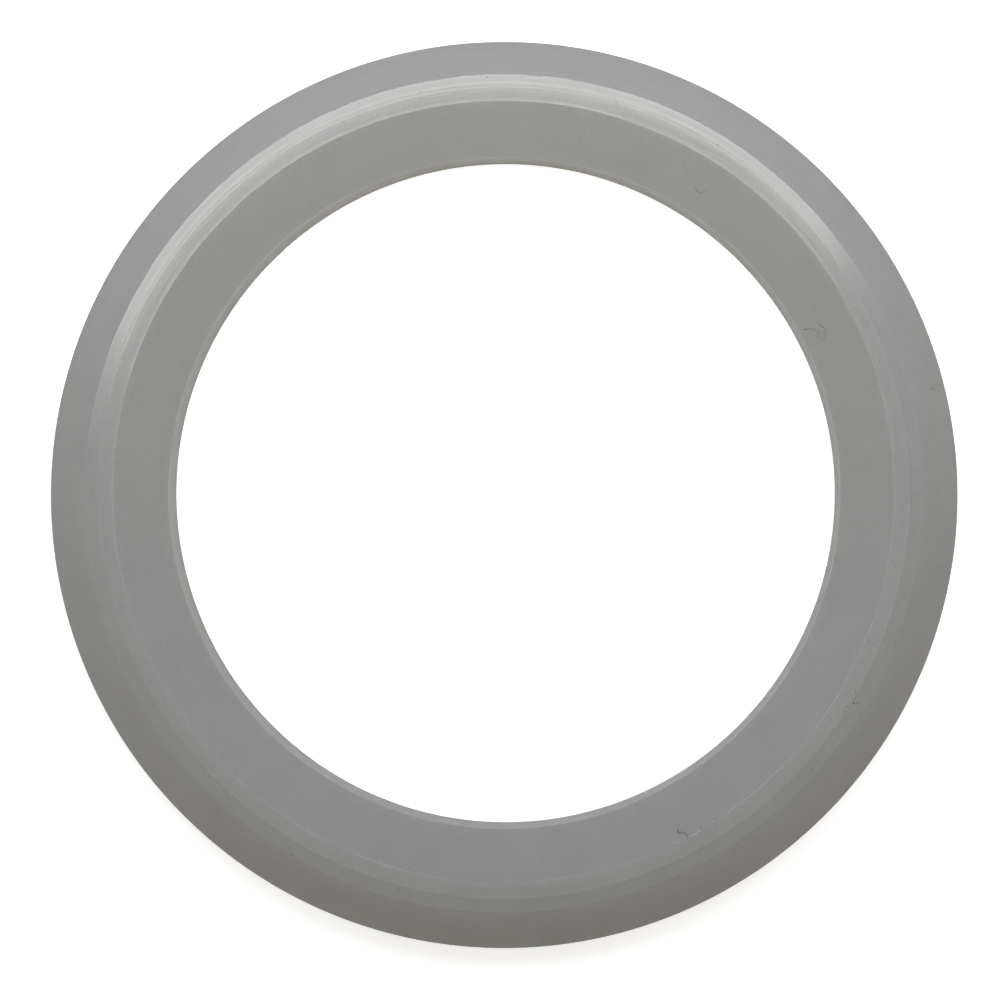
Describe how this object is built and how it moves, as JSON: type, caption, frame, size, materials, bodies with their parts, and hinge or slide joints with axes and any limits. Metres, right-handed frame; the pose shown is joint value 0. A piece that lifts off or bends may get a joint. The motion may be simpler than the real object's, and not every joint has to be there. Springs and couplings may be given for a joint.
{
  "type": "v-packing ring",
  "caption": "V-shaped packing ring in white plastic, with a flat-crested ridge above and a V groove with sealing lips below, for sealing a rod or plunger in a gland.",
  "frame": {"origin": "on the ring's axis, in the plane that its two lips stand on", "axes": "+Z along the ring's axis, from the lips towards the crest; +X and +Y across the ring"},
  "size_m": [0.0602, 0.0602, 0.0062],
  "materials": {
    "white_plastic": "turned translucent white plastic, matt, with fine concentric tool marks",
    "lint": "loose dark fibres and specks of dirt that lie on the ring"
  },
  "bodies": {
    "root": {"v_ring": "white_plastic"}
  },
  "joints": []
}
